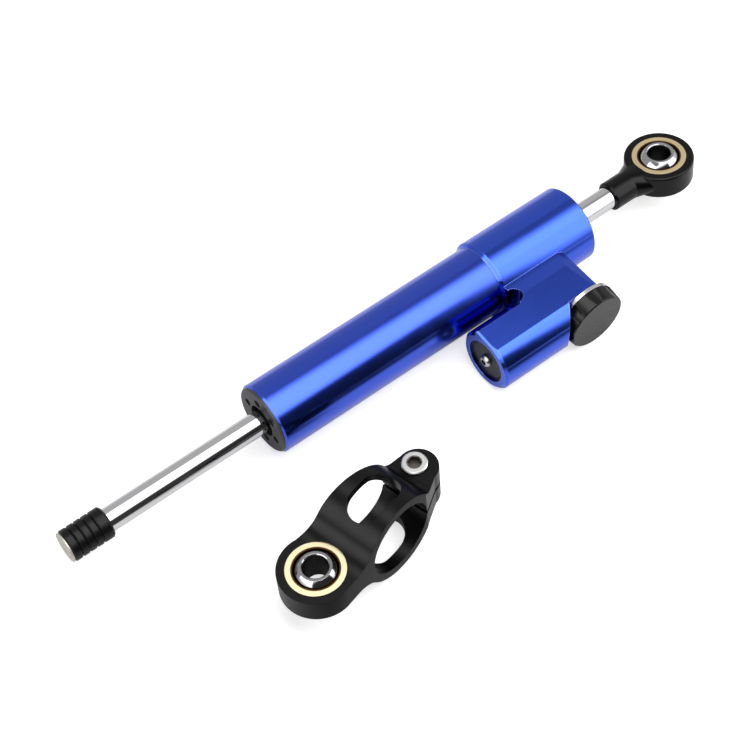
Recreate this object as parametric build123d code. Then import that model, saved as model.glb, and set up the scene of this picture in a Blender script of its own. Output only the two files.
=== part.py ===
from build123d import *
import math
import os

# Steering damper with a side valve housing, and its loose clamp bracket.
# All sizes are millimetres. The origin is the centre of the rod-eye ball.
# X runs along the damper from the rubber buffer to the rod eye, Z is up.
# The damper and the bracket lie on one flat surface, the adjuster faces -Y.

os.makedirs("parts", exist_ok=True)

# Clearances and overruns used everywhere
CUT = 2.0                # overrun of a cutting body past the face it opens
SLIDE_GAP = 0.05         # radial gap of a running fit
SEAT_GAP = 0.02          # radial gap of parts that are screwed or pressed home
REST_GAP = 0.3           # face gap left between moving pieces at rest
HEX_SIDES = 6
BEVEL_ANGLE = 45         # degrees

# Driving dimensions along the damper, at the photographed stroke
EYE_TO_SHANK_END = 24.0  # ball centre to the end face of the eye's shank
ROD_SHOWN_RIGHT = 18.4   # bright rod between shank and valve head
HEAD_LENGTH = 40.6       # collar of the valve head
TUBE_SHOWN_LENGTH = 90.0    # blue tube between its open end and the collar
ROD_SHOWN_LEFT = 60.2    # bright rod between tube end and rubber buffer
BUFFER_LENGTH = 15.3

ROD_D = 8.0
TUBE_D = 25.0
TUBE_WALL = 1.5
COLLAR_D = 27.6
LINER_BORE = 18.0
LINER_WALL = 1.0

# Valve head
SIDE_D = 22.0            # side housing beside the collar
SIDE_LENGTH = 44.6
SIDE_OFFSET = 25.2       # collar axis to side housing axis, along Y
WEB_FROM_COLLAR_START = 0.8    # start of the solid web that joins collar and side housing
COLLAR_PAST_WEB = 14.2   # collar that runs on past the web and side housing
COLLAR_CHAMFER = 1.3
HEAD_EDGE = 0.5
SIDE_BEVEL = 1.0
WEB_EDGE = 0.6           # bevel round the right end of web and side housing
WEB_BEVEL = 3.9          # long bevel on top of that end, along X where it is longest
WEB_BEVEL_TILT = 22.0    # degrees
FLAT_FROM_TOP = 22.0     # degrees round the side housing from its top to the edge of the flat
FLAT_TILT = 5.0          # degrees that the flat rises towards the collar
GROOVE_ON_COLLAR = 55.5  # degrees round the collar from its top to the shallow groove
GROOVE_PAST_COLLAR = 3.7     # crease between groove and flat, out from the collar's side
GROOVE_SAG = 0.24
SHOULDER_FROM_TUBE = 6.8     # gap between the tube and the side housing's wall
SHOULDER_EDGE = 0.8
SLOT_WALL = 0.8          # metal between the tube's thread and the slot that parts web and collar
SLOT_DEPTH = 3.2         # round bottom of that slot, past the web's left face
TUBE_SOCKET = 12.5       # depth of the thread that takes the tube
ANNULUS_RUN = 2.6        # open ring behind the tube end, feeds the bypass
LINER_SOCKET = 5.0       # depth of the liner's seat
REAR_SHOULDER = 1.1      # wall between the rear seal and the rear wiper
REAR_BUSH_LENGTH = 5.0
REAR_BUSH_WALL = 1.5
REAR_SEAL_D = 14.0
REAR_SEAL_LENGTH = 3.2
REAR_WIPER_D = 13.0
REAR_WIPER_LENGTH = 2.2
ROD_HOLE_GAP = 0.3       # radial room round the rod in plain metal

# Reservoir in the side housing
RESERVOIR_D = 16.0
RESERVOIR_DEPTH = 24.0
PLUG_RECESS = 0.9        # plug face below the rim of the housing
PLUG_LENGTH = 5.0
PLUG_RING_WIDTH = 1.4
PLUG_RING_SECTION = 1.1
PLUG_RING_FROM_IN = 0.6
CIRCLIP_THICK = 0.9
CIRCLIP_RADIAL = 1.2
CIRCLIP_OPENING = 46.0   # degrees left open for the pliers
CIRCLIP_GROOVE = 0.5     # how far the groove bites into the housing
CIRCLIP_SEAT = 1.0       # ring's inner face, behind the plug's face
FLOAT_LENGTH = 7.0
FLOAT_AT = 4.5           # oil room between floating piston and reservoir floor
FLOAT_DISH_D = 9.0
FLOAT_DISH_DEPTH = 3.5
FLOAT_RING_WIDTH = 2.2
FLOAT_RING_SECTION = 1.6
FILL_HEAD_D = 4.6
FILL_HEAD_LENGTH = 1.7
FILL_SHANK_D = 2.6
FILL_SHANK_LENGTH = 4.0
FILL_HEX = 2.0
FILL_HEX_DEPTH = 1.1
CROWN_SHARE = 0.7            # share of the head height that is rounded

# Adjuster on the side housing
KNOB_FROM_HEAD_END = 4.8     # adjuster axis to the end of the side housing
SPOT_FACE_D = 25.6
SPOT_FACE_DEPTH = 7.0        # from the housing's front down to the flat
DIAL_D = 22.4
DIAL_THICK = 1.3
DIAL_STOPS = 22
DIAL_STOP_D = 0.9
DIAL_STOP_DEPTH = 0.5
DIAL_STOP_CIRCLE_D = 15.0
KNOB_BACK_D = 22.6
KNOB_FACE_D = 21.6
KNOB_LENGTH = 5.6
KNOB_GAP = 0.2
KNOB_FLUTES = 8
KNOB_FLUTE_D = 11.0
KNOB_FLUTE_DEPTH = 0.75
KNOB_FACE_EDGE = 0.35
GLAND_SHANK_D = 9.0
GLAND_SHANK_LENGTH = 8.0
GLAND_BOSS_D = 7.0
GLAND_BOSS_LENGTH = 4.2
GLAND_GROOVE_WIDTH = 1.3
GLAND_GROOVE_DEPTH = 0.5
GLAND_GROOVE_FROM_END = 0.4
SPINDLE_D = 4.0
SPINDLE_HEX = 3.4
SPINDLE_HEX_LENGTH = 2.2
KNOB_WALL = 0.6              # knob face left in front of the spindle's socket
NEEDLE_TRAVEL = 0.92         # whole travel of the needle over the knob's turn
VALVE_ROOM_D = 6.4
VALVE_ROOM_LENGTH = 4.4
NEEDLE_TIP_D = 1.0
NEEDLE_TAPER = 2.5
NEEDLE_OVERLAP = 0.6         # needle nose inside the port at the rest setting
PORT_D = 2.5
FEED_D = 2.0
SPINDLE_RING_SECTION = 1.0
SPINDLE_RING_WIDTH = 1.3
SPINDLE_RING_FROM_INNER = 2.2
SET_SCREW_D = 1.8
SET_SCREW_LENGTH = 5.0
SET_SCREW_HEX = 0.9
SET_SCREW_HEX_DEPTH = 1.2
CLICK_BALL_D = 2.0
CLICK_SPRING_D = 1.7
CLICK_SPRING_BORE = 1.0
CLICK_SPRING_LENGTH = 1.9

# Front gland in the open end of the tube
GLAND_FLANGE = 13.4          # length of the part that fills the tube
GLAND_SPIGOT = 4.0           # spigot inside the liner
FLANGE_D = 23.6              # rim that lies on the tube's end
FLANGE_THICK = 0.8
TUBE_LIP = 0.6               # bevel round the tube's open end
GLAND_EDGE = 0.4
WIPER_D = 11.4
WIPER_RECESS = 1.4
WIPER_LENGTH = 2.4
WIPER_LIP = 1.2
SEAL_D = 14.0
SEAL_LENGTH = 3.4
SEAL_FROM_WIPER = 1.6
BUSH_LENGTH = 7.0
BUSH_WALL = 1.5
GLAND_RING_SECTION = 1.7
GLAND_RING_WIDTH = 2.3
GLAND_RING_FROM_FACE = 6.0
PIN_HOLES = 6
PIN_HOLE_D = 2.8
PIN_HOLE_DEPTH = 4.0
PIN_CIRCLE_D = 15.4
PIN_FIRST_ANGLE = 45.6

# Liner, piston and rod
LINER_PORTS = 6
LINER_PORT_D = 2.4
LINER_PORT_FROM_GLAND = 3.4
PISTON_LENGTH = 14.0
PISTON_GAP = 0.05
PISTON_AT = 128.0            # ball centre to the middle of the piston
PISTON_RING_WIDTH = 5.0
PISTON_RING_DEPTH = 1.0
PISTON_HUB_D = 12.0
PISTON_FACE_CUT = 1.6
PISTON_BLEEDS = 2
PISTON_BLEED_D = 0.9
PISTON_BLEED_CIRCLE_D = 14.6
CLIP_THICK = 1.0
CLIP_RADIAL = 1.2
CLIP_GROOVE = 0.5
ROD_THREAD_LEFT = 12.0       # stud at the rod's end, inside the buffer
STUD_EDGE = 0.6
ROD_THREAD_RIGHT = 11.0      # rod end inside the eye's shank
THREAD_END_D = 6.6
THREAD_END_LENGTH = 1.0

# Rubber buffer on the left rod end
BUFFER_D = 10.9
BUFFER_WALL = 2.45           # rubber round the stud
BUFFER_EDGE = 0.6
BUFFER_GROOVES = 4
BUFFER_GROOVE_WIDTH = 0.9
BUFFER_GROOVE_DEPTH = 0.45
BUFFER_FIRST_GROOVE = 3.0
BUFFER_GROOVE_PITCH = 2.6
BUFFER_CAP_THICK = 0.5       # aluminium end disc
BUFFER_CAP_D = 10.2

# Spherical bearings, one in the rod eye and one in the bracket
BEARING_D = 19.0
BEARING_WIDTH = 9.0
BALL_D = 15.875
BALL_WIDTH = 12.0
BALL_BORE = 8.0
BALL_BORE_CHAMFER = 0.4
RACE_MOUTH_D = 14.4
RACE_MOUTH_DEPTH = 1.2
EYE_D = 24.6
EYE_ROLL = 8.3               # degrees that the rod eye is turned round the rod
EYE_THICK = 9.0
EYE_EDGE = 0.9
SHANK_D = 10.6
SHANK_STRAIGHT = 9.0
SHANK_EDGE = 0.5
NECK_WIDTH = 20.0
NECK_INSIDE_EYE = 5.0

# Loose clamp bracket, in its own frame: X from the eye to the pinch screw
CLAMP_EYE_X = -194.4
CLAMP_EYE_Y = -56.6
CLAMP_TURN = 12.3            # degrees that the bracket is turned from X
CLAMP_LEAN = 4.5             # degrees that it leans back, on the back rim of its ring
CLAMP_RING_AT = 25.9
CLAMP_BORE = 25.2
CLAMP_WALL = 3.1
CLAMP_FRONT = 11.8           # front face of the ring, from the eye's centre
CLAMP_EYE_D = 24.4
CLAMP_SIDE_SHIFT = 2.0       # ears and windows stand this far in front of the eye's centre
CLAMP_SCREW_SHIFT = 0.7      # and the pinch screw this far
CLAMP_EYE_THICK = 9.0
CLAMP_SCREW_AT = 46.5
CLAMP_EAR_D = 13.4
CLAMP_EAR_TOP = 6.2          # ear faces above and below the ring's centre
CLAMP_EAR_BOTTOM = 8.4
CLAMP_SPLIT = 1.5
CLAMP_WINDOW_LENGTH = 19.0
CLAMP_WINDOW_WIDTH = 12.0
CLAMP_BLEND_EYE = 10.0
CLAMP_BLEND_EAR = 4.0
PINCH_D = 5.0
PINCH_GAP = 0.25
PINCH_HEAD_D = 8.5
PINCH_HEAD_LENGTH = 3.5
PINCH_HEAD_EDGE = 0.4
PINCH_SINK = 2.3
PINCH_SEAT_GAP = 0.2
PINCH_HEX = 4.0
PINCH_HEX_DEPTH = 2.2
PINCH_LENGTH = 10.0

# Places worked out from the sizes above
ROD_R = ROD_D / 2
TUBE_R = TUBE_D / 2
TUBE_BORE_R = TUBE_R - TUBE_WALL
COLLAR_R = COLLAR_D / 2
SIDE_R = SIDE_D / 2
LINER_R = LINER_BORE / 2
LINER_OUT_R = LINER_R + LINER_WALL
RESERVOIR_R = RESERVOIR_D / 2
BALL_R = BALL_D / 2
BEARING_R = BEARING_D / 2

SHANK_END = -EYE_TO_SHANK_END
HEAD_END = SHANK_END - ROD_SHOWN_RIGHT
HEAD_START = HEAD_END - HEAD_LENGTH
TUBE_START = HEAD_START - TUBE_SHOWN_LENGTH
BUFFER_END = TUBE_START - ROD_SHOWN_LEFT
BUFFER_START = BUFFER_END - BUFFER_LENGTH
STUD_R = BUFFER_D / 2 - BUFFER_WALL
WEB_END = HEAD_END - COLLAR_PAST_WEB
WEB_START = HEAD_START + WEB_FROM_COLLAR_START
SIDE_START = WEB_END - SIDE_LENGTH
SIDE_Y = -SIDE_OFFSET
SIDE_Z = SIDE_R - COLLAR_R
KNOB_X = WEB_END - KNOB_FROM_HEAD_END
FLOOR_Z = -COLLAR_R
SHOULDER_Y = -TUBE_R - SHOULDER_FROM_TUBE
PLUG_FACE = SIDE_START + PLUG_RECESS
CIRCLIP_END = PLUG_FACE + CIRCLIP_SEAT
CIRCLIP_START = CIRCLIP_END - CIRCLIP_THICK
PLUG_END = CIRCLIP_END + PLUG_LENGTH
RESERVOIR_FLOOR = SIDE_START + RESERVOIR_DEPTH
FLOAT_START = RESERVOIR_FLOOR - FLOAT_AT - FLOAT_LENGTH

TUBE_END = HEAD_START + TUBE_SOCKET
ANNULUS_END = TUBE_END + ANNULUS_RUN
LINER_END = ANNULUS_END + LINER_SOCKET
FEED_X = (TUBE_END + ANNULUS_END) / 2
REAR_WIPER_START = HEAD_END - REAR_WIPER_LENGTH
REAR_SEAL_END = REAR_WIPER_START - REAR_SHOULDER
REAR_BUSH_END = REAR_SEAL_END - REAR_SEAL_LENGTH
CHAMBER_END = REAR_BUSH_END - REAR_BUSH_LENGTH
FLANGE_END = TUBE_START + GLAND_FLANGE
SPIGOT_END = FLANGE_END + GLAND_SPIGOT
PISTON_START = -PISTON_AT - PISTON_LENGTH / 2
PISTON_END = -PISTON_AT + PISTON_LENGTH / 2

SPOT_Y = SIDE_Y - SIDE_R + SPOT_FACE_DEPTH
DIAL_Y = SPOT_Y - DIAL_THICK
KNOB_BACK_Y = DIAL_Y - KNOB_GAP
KNOB_FACE_Y = KNOB_BACK_Y - KNOB_LENGTH
VALVE_GLAND_Y = SPOT_Y + GLAND_SHANK_LENGTH
VALVE_SEAT_Y = VALVE_GLAND_Y + VALVE_ROOM_LENGTH
BOSS_END_Y = SPOT_Y - GLAND_BOSS_LENGTH


def bar(radius, start, end):
    """Round bar along X from start to end."""
    body = Cylinder(radius, end - start, align=(Align.CENTER, Align.CENTER, Align.MIN))
    return Pos(start, 0, 0) * Rot(0, 90, 0) * body


def sleeve(outer, inner, start, end):
    """Round tube along X from start to end."""
    return bar(outer, start, end) - bar(inner, start - CUT, end + CUT)


def turned(points):
    """Solid turned round X from an outline of (place along X, radius) points."""
    outline = make_face(Polyline(*points, close=True))
    return revolve(outline, Axis.X)


def pin(radius, inner_y, outer_y, x=KNOB_X, z=SIDE_Z):
    """Round bar along Y, from inner_y out towards -Y at outer_y."""
    body = Cylinder(radius, inner_y - outer_y, align=(Align.CENTER, Align.CENTER, Align.MIN))
    return Pos(x, inner_y, z) * Rot(90, 0, 0) * body


def knob_ring(outer, inner, inner_y, outer_y):
    """Flat ring on the adjuster axis."""
    return pin(outer, inner_y, outer_y) - pin(inner, inner_y + CUT, outer_y - CUT)


def rubber_ring(centre_radius, section, place):
    """O-ring round X at the given place."""
    return Pos(place, 0, 0) * Rot(0, 90, 0) * Torus(centre_radius, section / 2)


def save(name, shape):
    shape.label = name
    export_step(shape, f"parts/{name}.step")


def barrel_tube():
    tube = turned([
        (TUBE_START, TUBE_BORE_R),
        (TUBE_START, TUBE_R - TUBE_LIP),
        (TUBE_START + TUBE_LIP, TUBE_R),
        (TUBE_END, TUBE_R),
        (TUBE_END, TUBE_BORE_R),
    ])
    return tube


def inner_liner():
    start = FLANGE_END
    liner = sleeve(LINER_OUT_R, LINER_R, start, LINER_END)
    port_x = SPIGOT_END + LINER_PORT_FROM_GLAND
    drill = Pos(port_x, 0, 0) * Cylinder(LINER_PORT_D / 2, LINER_OUT_R + CUT,
                                         align=(Align.CENTER, Align.CENTER, Align.MIN))
    for number in range(LINER_PORTS):
        liner -= Rot(360 * number / LINER_PORTS, 0, 0) * drill
    return liner


def flat_z(y):
    """Height of the flat on top of the head, which starts at a crease on the side housing."""
    turn = math.radians(FLAT_FROM_TOP)
    crease_y = SIDE_Y - SIDE_R * math.sin(turn)
    crease_z = SIDE_Z + SIDE_R * math.cos(turn)
    return crease_z + (y - crease_y) * math.tan(math.radians(FLAT_TILT))


def below_flat(start, end):
    """Room under the flat, from start to end along X, to cut the side housing with."""
    outer_y = SIDE_Y - SIDE_R - CUT
    inner_y = SIDE_Y + SIDE_R + CUT
    section = make_face(Polyline(
        (outer_y, flat_z(outer_y)),
        (inner_y, flat_z(inner_y)),
        (inner_y, FLOOR_Z - CUT),
        (outer_y, FLOOR_Z - CUT),
        close=True))
    return along_head(section, start, end)


def along_head(section, start, end):
    """Solid that carries a section, drawn in Y and Z, from start to end along X."""
    plane = Plane((start, 0, 0), x_dir=(0, 1, 0), z_dir=(1, 0, 0))
    return extrude(plane * section, amount=end - start, dir=(1, 0, 0))


def web_section():
    """Section of the web: flat on top, with a shallow groove beside the collar."""
    turn = math.radians(GROOVE_ON_COLLAR)
    collar_side = (-COLLAR_R * math.sin(turn), COLLAR_R * math.cos(turn))
    groove = SagittaArc(collar_side, groove_crease(), GROOVE_SAG)
    rest = Polyline(
        groove_crease(),
        (SIDE_Y, flat_z(SIDE_Y)),
        (SIDE_Y, FLOOR_Z),
        (0, FLOOR_Z),
        collar_side)
    return make_face([groove.edge(), *rest.edges()])


def groove_crease():
    """Place in Y and Z where the groove meets the flat."""
    crease_y = -COLLAR_R - GROOVE_PAST_COLLAR
    return crease_y, flat_z(crease_y)


def end_wedge(place, length, tilt, up=1):
    """Cutter along Y that bevels an edge at z = 0, on top (up 1) or below (up -1).

    The bevel begins at the given length before the place, and a negative length bevels a left end.
    """
    way = math.copysign(1, length)
    drop = (abs(length) + CUT) * math.tan(math.radians(tilt))
    outline = Plane.XZ * Polyline(
        (place - length, 0),
        (place + way * CUT, -up * drop),
        (place + way * CUT, up * CUT),
        close=True)
    return extrude(make_face(outline), amount=SIDE_OFFSET + SIDE_D, both=True)


def housing_part(start, end, start_bevel, end_bevel):
    """Round part of the side housing, turned with a bevel at either end and cut by the flat."""
    housing = turned([
        (start, 0),
        (start, SIDE_R - start_bevel),
        (start + start_bevel, SIDE_R),
        (end - end_bevel, SIDE_R),
        (end, SIDE_R - end_bevel),
        (end, 0),
    ])
    return Pos(0, SIDE_Y, SIDE_Z) * housing & below_flat(start, end)


def web_part():
    """Solid web from the collar to the side housing, bevelled at its right end."""
    web = along_head(web_section(), WEB_START, WEB_END)
    web -= Pos(0, 0, FLOOR_Z) * end_wedge(WEB_END, WEB_EDGE, BEVEL_ANGLE, up=-1)
    web += housing_part(SIDE_START, WEB_END, SIDE_BEVEL, WEB_EDGE)
    return web - Pos(0, 0, groove_crease()[1]) * end_wedge(WEB_END, WEB_BEVEL, WEB_BEVEL_TILT)


def slot_cutter():
    """Upright cutter that parts web and collar at the left, beside the shoulder."""
    radius = (SHOULDER_FROM_TUBE - SEAT_GAP - SLOT_WALL) / 2
    return Pos(WEB_START + SLOT_DEPTH - radius, SHOULDER_Y + radius, 0) * Cylinder(radius, 2 * COLLAR_D)


def shoulder_part():
    """Shoulder of the side housing beside the tube, with bevelled edges."""
    edge_y = SHOULDER_Y - SHOULDER_EDGE
    section = make_face(Polyline(
        (SIDE_Y, flat_z(SIDE_Y)),
        (edge_y, flat_z(edge_y)),
        (SHOULDER_Y, flat_z(SHOULDER_Y) - SHOULDER_EDGE),
        (SHOULDER_Y, SIDE_Z),
        (SIDE_Y, SIDE_Z),
        close=True))
    shoulder = along_head(section, SIDE_START, WEB_START + WEB_EDGE)
    bevel = SIDE_BEVEL - SIDE_R + flat_z(SIDE_Y) - SIDE_Z
    wedge = end_wedge(SIDE_START, -bevel, BEVEL_ANGLE)
    return shoulder - Pos(0, SIDE_Y, flat_z(SIDE_Y)) * Rot(FLAT_TILT, 0, 0) * wedge


def head_block():
    collar = turned([
        (HEAD_START, 0),
        (HEAD_START, COLLAR_R - COLLAR_CHAMFER),
        (HEAD_START + COLLAR_CHAMFER, COLLAR_R),
        (HEAD_END - HEAD_EDGE, COLLAR_R),
        (HEAD_END, COLLAR_R - HEAD_EDGE),
        (HEAD_END, 0),
    ])
    block = collar + web_part() - slot_cutter()
    block += shoulder_part()
    block -= main_bore()
    block -= Pos(0, SIDE_Y, SIDE_Z) * reservoir_bore()
    block -= pin(SPOT_FACE_D / 2, SPOT_Y, SIDE_Y - SIDE_R - CUT)
    block -= valve_bore()
    return block


def main_bore():
    """Stepped bore of the valve head, from the tube socket to the rear wiper."""
    return turned([
        (HEAD_START - CUT, 0),
        (HEAD_START - CUT, TUBE_R + SEAT_GAP),
        (TUBE_END, TUBE_R + SEAT_GAP),
        (TUBE_END, TUBE_BORE_R),
        (ANNULUS_END, TUBE_BORE_R),
        (ANNULUS_END, LINER_OUT_R + SEAT_GAP),
        (LINER_END, LINER_OUT_R + SEAT_GAP),
        (LINER_END, LINER_R),
        (CHAMBER_END, LINER_R),
        (CHAMBER_END, ROD_R + REAR_BUSH_WALL + SLIDE_GAP + SEAT_GAP),
        (REAR_BUSH_END, ROD_R + REAR_BUSH_WALL + SLIDE_GAP + SEAT_GAP),
        (REAR_BUSH_END, REAR_SEAL_D / 2),
        (REAR_SEAL_END, REAR_SEAL_D / 2),
        (REAR_SEAL_END, ROD_R + ROD_HOLE_GAP),
        (REAR_WIPER_START, ROD_R + ROD_HOLE_GAP),
        (REAR_WIPER_START, REAR_WIPER_D / 2),
        (HEAD_END + CUT, REAR_WIPER_D / 2),
        (HEAD_END + CUT, 0),
    ])


def reservoir_bore():
    """Blind bore of the reservoir with its circlip groove and the feed to the valve."""
    bore = bar(RESERVOIR_R, SIDE_START - CUT, RESERVOIR_FLOOR)
    bore += bar(RESERVOIR_R + CIRCLIP_GROOVE, CIRCLIP_START, CIRCLIP_END)
    bore += bar(PORT_D / 2, RESERVOIR_FLOOR - CUT, KNOB_X)
    return bore


def valve_bore():
    """Drillings on the adjuster axis and the feed from the ring behind the tube."""
    drill = pin(GLAND_SHANK_D / 2 + SEAT_GAP, VALVE_GLAND_Y, SPOT_Y - CUT)
    drill += pin(VALVE_ROOM_D / 2, VALVE_SEAT_Y, SPOT_Y - CUT)
    drill += pin(PORT_D / 2, 0, VALVE_SEAT_Y - CUT)
    drill += pin(FEED_D / 2, -LINER_OUT_R, SIDE_Y, x=FEED_X)
    return drill


def rear_bush():
    inner = ROD_R + SLIDE_GAP
    return sleeve(inner + REAR_BUSH_WALL, inner, CHAMBER_END, REAR_BUSH_END)


def rear_seal():
    return sleeve(REAR_SEAL_D / 2 - SEAT_GAP, ROD_R + SLIDE_GAP, REAR_BUSH_END, REAR_SEAL_END)


def rear_wiper():
    return sleeve(REAR_WIPER_D / 2 - SEAT_GAP, ROD_R + SLIDE_GAP, REAR_WIPER_START, HEAD_END)


def front_gland():
    face = TUBE_START - FLANGE_THICK
    body_r = TUBE_BORE_R - SEAT_GAP
    bush_r = ROD_R + SLIDE_GAP + BUSH_WALL + SEAT_GAP
    wiper_end = TUBE_START + WIPER_RECESS + WIPER_LENGTH
    seal_start = wiper_end + SEAL_FROM_WIPER
    ring_start = TUBE_START + GLAND_RING_FROM_FACE
    groove_r = body_r - GLAND_RING_SECTION
    bush_start = SPIGOT_END - BUSH_LENGTH
    hole_r = ROD_R + ROD_HOLE_GAP
    gland = turned([
        (face, WIPER_D / 2),
        (face, FLANGE_D / 2 - GLAND_EDGE),
        (face + GLAND_EDGE, FLANGE_D / 2),
        (TUBE_START, FLANGE_D / 2),
        (TUBE_START, body_r),
        (ring_start, body_r),
        (ring_start, groove_r),
        (ring_start + GLAND_RING_WIDTH, groove_r),
        (ring_start + GLAND_RING_WIDTH, body_r),
        (FLANGE_END, body_r),
        (FLANGE_END, LINER_R - SEAT_GAP),
        (SPIGOT_END, LINER_R - SEAT_GAP),
        (SPIGOT_END, bush_r),
        (bush_start, bush_r),
        (bush_start, hole_r),
        (seal_start + SEAL_LENGTH, hole_r),
        (seal_start + SEAL_LENGTH, SEAL_D / 2),
        (seal_start, SEAL_D / 2),
        (seal_start, hole_r),
        (wiper_end, hole_r),
        (wiper_end, WIPER_D / 2),
    ])
    for number in range(PIN_HOLES):
        angle = PIN_FIRST_ANGLE + 360 * number / PIN_HOLES
        spot = Rot(angle, 0, 0) * Pos(0, 0, PIN_CIRCLE_D / 2)
        gland -= spot * bar(PIN_HOLE_D / 2, face - CUT, face + PIN_HOLE_DEPTH)
    return gland


def front_wiper():
    start = TUBE_START + WIPER_RECESS
    end = start + WIPER_LENGTH
    inner = ROD_R + SLIDE_GAP
    return turned([
        (start, inner),
        (start, inner + WIPER_LIP / 2),
        (start + WIPER_LIP, inner + WIPER_LIP),
        (start + WIPER_LIP, WIPER_D / 2 - SEAT_GAP),
        (end, WIPER_D / 2 - SEAT_GAP),
        (end, inner),
    ])


def front_seal():
    start = TUBE_START + WIPER_RECESS + WIPER_LENGTH + SEAL_FROM_WIPER
    return sleeve(SEAL_D / 2 - SEAT_GAP, ROD_R + SLIDE_GAP, start, start + SEAL_LENGTH)


def front_bush():
    inner = ROD_R + SLIDE_GAP
    return sleeve(inner + BUSH_WALL, inner, SPIGOT_END - BUSH_LENGTH, SPIGOT_END)


def gland_ring():
    middle = TUBE_START + GLAND_RING_FROM_FACE + GLAND_RING_WIDTH / 2
    return rubber_ring(TUBE_BORE_R - SEAT_GAP - GLAND_RING_SECTION / 2,
                       GLAND_RING_SECTION - SEAT_GAP, middle)


def piston_rod():
    left = BUFFER_END - ROD_THREAD_LEFT
    right = SHANK_END + ROD_THREAD_RIGHT
    rod = turned([
        (left, 0),
        (left, STUD_R - STUD_EDGE),
        (left + STUD_EDGE, STUD_R),
        (BUFFER_END, STUD_R),
        (BUFFER_END, ROD_R),
        (right - THREAD_END_LENGTH, ROD_R),
        (right, THREAD_END_D / 2),
        (right, 0),
    ])
    for start in clip_starts():
        rod -= sleeve(ROD_D, ROD_R - CLIP_GROOVE, start, start + CLIP_THICK)
    return rod


def clip_starts():
    """Left faces of the two clips that hold the piston on the rod."""
    return (PISTON_START + PISTON_FACE_CUT - CLIP_THICK, PISTON_END - PISTON_FACE_CUT)


def piston():
    outer = LINER_R - PISTON_GAP
    hub = PISTON_HUB_D / 2
    ring_start = -PISTON_AT - PISTON_RING_WIDTH / 2
    ring_end = -PISTON_AT + PISTON_RING_WIDTH / 2
    inner = ROD_R + SEAT_GAP
    body = turned([
        (PISTON_START + PISTON_FACE_CUT, inner),
        (PISTON_START + PISTON_FACE_CUT, hub),
        (PISTON_START, hub),
        (PISTON_START, outer),
        (ring_start, outer),
        (ring_start, outer - PISTON_RING_DEPTH),
        (ring_end, outer - PISTON_RING_DEPTH),
        (ring_end, outer),
        (PISTON_END, outer),
        (PISTON_END, hub),
        (PISTON_END - PISTON_FACE_CUT, hub),
        (PISTON_END - PISTON_FACE_CUT, inner),
    ])
    bleed = Pos(0, 0, PISTON_BLEED_CIRCLE_D / 2) * bar(
        PISTON_BLEED_D / 2, PISTON_START - CUT, PISTON_END + CUT)
    for number in range(PISTON_BLEEDS):
        body -= Rot(360 * number / PISTON_BLEEDS, 0, 0) * bleed
    return body


def piston_ring():
    outer = LINER_R - PISTON_GAP
    return sleeve(outer, outer - PISTON_RING_DEPTH + SEAT_GAP,
                  -PISTON_AT - PISTON_RING_WIDTH / 2, -PISTON_AT + PISTON_RING_WIDTH / 2)


def piston_clips():
    inner = ROD_R - CLIP_GROOVE + SEAT_GAP
    rings = [sleeve(ROD_R + CLIP_RADIAL - CLIP_GROOVE, inner, start, start + CLIP_THICK)
             for start in clip_starts()]
    return Compound(children=rings)


def buffer():
    groove_r = BUFFER_D / 2 - BUFFER_GROOVE_DEPTH
    start = BUFFER_START + BUFFER_CAP_THICK
    thread_start = BUFFER_END - ROD_THREAD_LEFT - REST_GAP
    points = [
        (start, 0),
        (start, BUFFER_D / 2 - BUFFER_EDGE),
        (start + BUFFER_EDGE, BUFFER_D / 2),
    ]
    for number in range(BUFFER_GROOVES):
        at = BUFFER_START + BUFFER_FIRST_GROOVE + number * BUFFER_GROOVE_PITCH
        points += [
            (at, BUFFER_D / 2),
            (at + BUFFER_GROOVE_WIDTH / 2, groove_r),
            (at + BUFFER_GROOVE_WIDTH, BUFFER_D / 2),
        ]
    points += [
        (BUFFER_END - BUFFER_EDGE, BUFFER_D / 2),
        (BUFFER_END, BUFFER_D / 2 - BUFFER_EDGE),
        (BUFFER_END, STUD_R + SEAT_GAP),
        (thread_start, STUD_R + SEAT_GAP),
        (thread_start, 0),
    ]
    return turned(points)


def buffer_disc():
    return bar(BUFFER_CAP_D / 2, BUFFER_START, BUFFER_START + BUFFER_CAP_THICK)


def race():
    """Brass race: a ring whose bore is the ball's own sphere."""
    ring = Cylinder(BEARING_R - SEAT_GAP, BEARING_WIDTH)
    ring -= Sphere(BALL_R + SLIDE_GAP)
    for side in (1, -1):
        mouth = Cylinder(RACE_MOUTH_D / 2, RACE_MOUTH_DEPTH + CUT,
                         align=(Align.CENTER, Align.CENTER, Align.MIN))
        mouth = Pos(0, 0, BEARING_WIDTH / 2 - RACE_MOUTH_DEPTH) * mouth
        ring -= mouth if side > 0 else Rot(180, 0, 0) * mouth
    return ring


def bearing_ball():
    ball = Sphere(BALL_R)
    ball &= Cylinder(BALL_D, BALL_WIDTH)
    ball -= Cylinder(BALL_BORE / 2, BALL_WIDTH + CUT)
    for side in (1, -1):
        sink = Cone(BALL_BORE / 2, BALL_BORE / 2 + BALL_BORE_CHAMFER, BALL_BORE_CHAMFER,
                    align=(Align.CENTER, Align.CENTER, Align.MIN))
        sink = Pos(0, 0, BALL_WIDTH / 2 - BALL_BORE_CHAMFER) * sink
        ball -= sink if side > 0 else Rot(180, 0, 0) * sink
    return ball


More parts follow.
